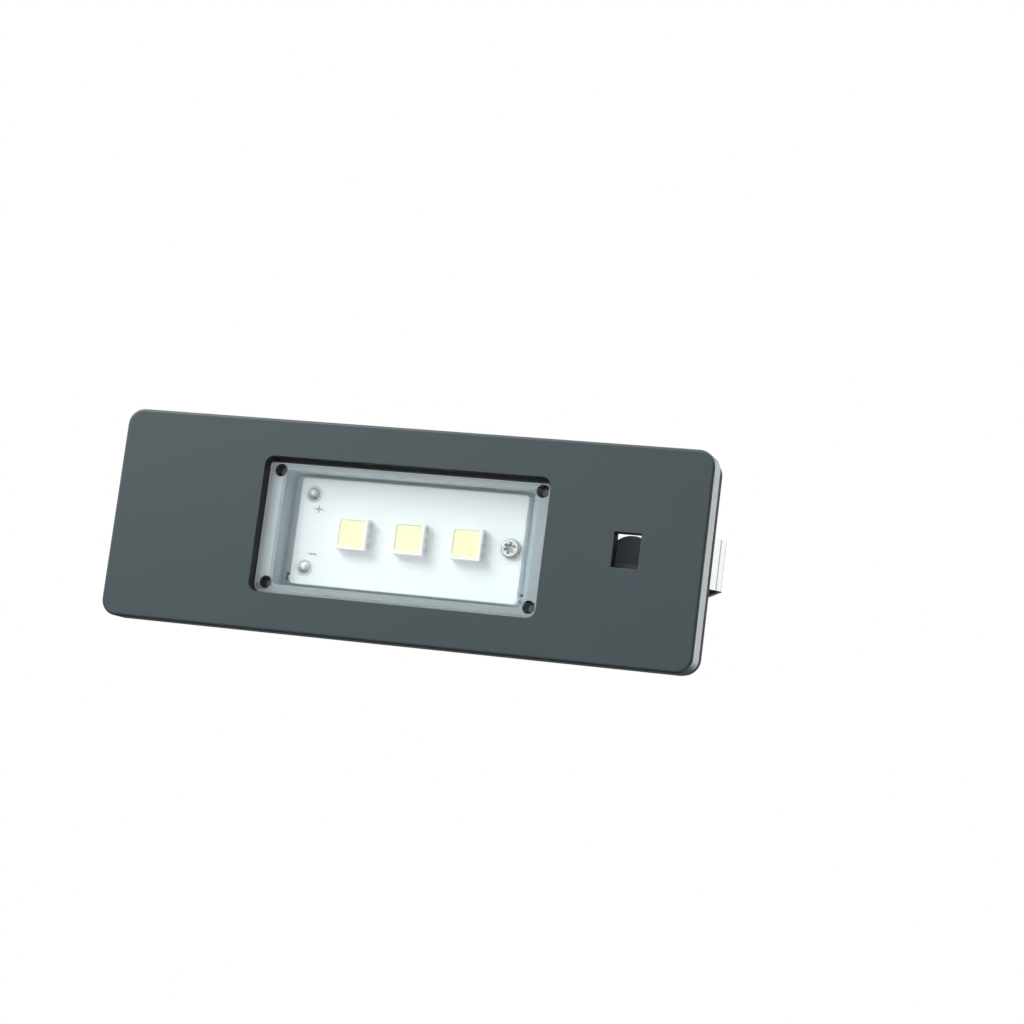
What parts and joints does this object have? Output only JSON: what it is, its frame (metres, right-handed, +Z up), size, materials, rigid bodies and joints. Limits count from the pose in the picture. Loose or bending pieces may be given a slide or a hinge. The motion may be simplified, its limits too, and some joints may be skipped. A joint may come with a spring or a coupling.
{
  "type": "number plate lamp",
  "caption": "Slim recessed LED lamp for lighting a number plate: black bezel with a clear window, foam gasket, rear plug and spring clip.",
  "frame": {"origin": "middle of the bezel's outline in the plane where the gasket's rear face meets the panel", "axes": "+X along the lamp to the end with the spring clip, +Y into the car (the lit face looks along -Y), +Z up as pictured"},
  "size_m": [0.0976, 0.0212, 0.0336],
  "materials": {
    "bezel_plastic": "black moulded plastic, fine satin grain",
    "foam": "closed-cell foam, dark grey",
    "clear_lens": "clear moulded lens with a bevelled edge",
    "body_plastic": "black moulded plastic",
    "aluminium_sheet": "bright rolled sheet",
    "white_board": "white solder mask",
    "led_white": "white LED housing",
    "phosphor": "yellow phosphor in silicone",
    "screw_steel": "zinc plated",
    "solder": "bright solder",
    "lead_red": "red wire sleeve",
    "lead_black": "black wire sleeve",
    "green_board": "green solder mask",
    "chip_black": "moulded chip",
    "ceramic": "ceramic chip",
    "tinned_brass": "tin plated",
    "spring_steel": "rolled spring strip"
  },
  "bodies": {
    "root": {"bezel": "bezel_plastic", "gasket": "foam", "lens": "clear_lens", "lamp_body": "body_plastic", "heat_sink": "aluminium_sheet", "led_board": "white_board", "led_package_1": "led_white", "led_package_2": "led_white", "led_package_3": "led_white", "led_phosphor_1": "phosphor", "led_phosphor_2": "phosphor", "led_phosphor_3": "phosphor", "board_screw": "screw_steel", "solder_plus": "solder", "solder_minus": "solder", "lead_plus": "lead_red", "lead_minus": "lead_black", "driver_board": "green_board", "rectifier": "chip_black", "regulator": "chip_black", "resistor_1": "chip_black", "resistor_2": "chip_black", "capacitor": "ceramic", "terminal_plus": "tinned_brass", "terminal_minus": "tinned_brass", "spring_clip": "spring_steel"}
  },
  "joints": []
}
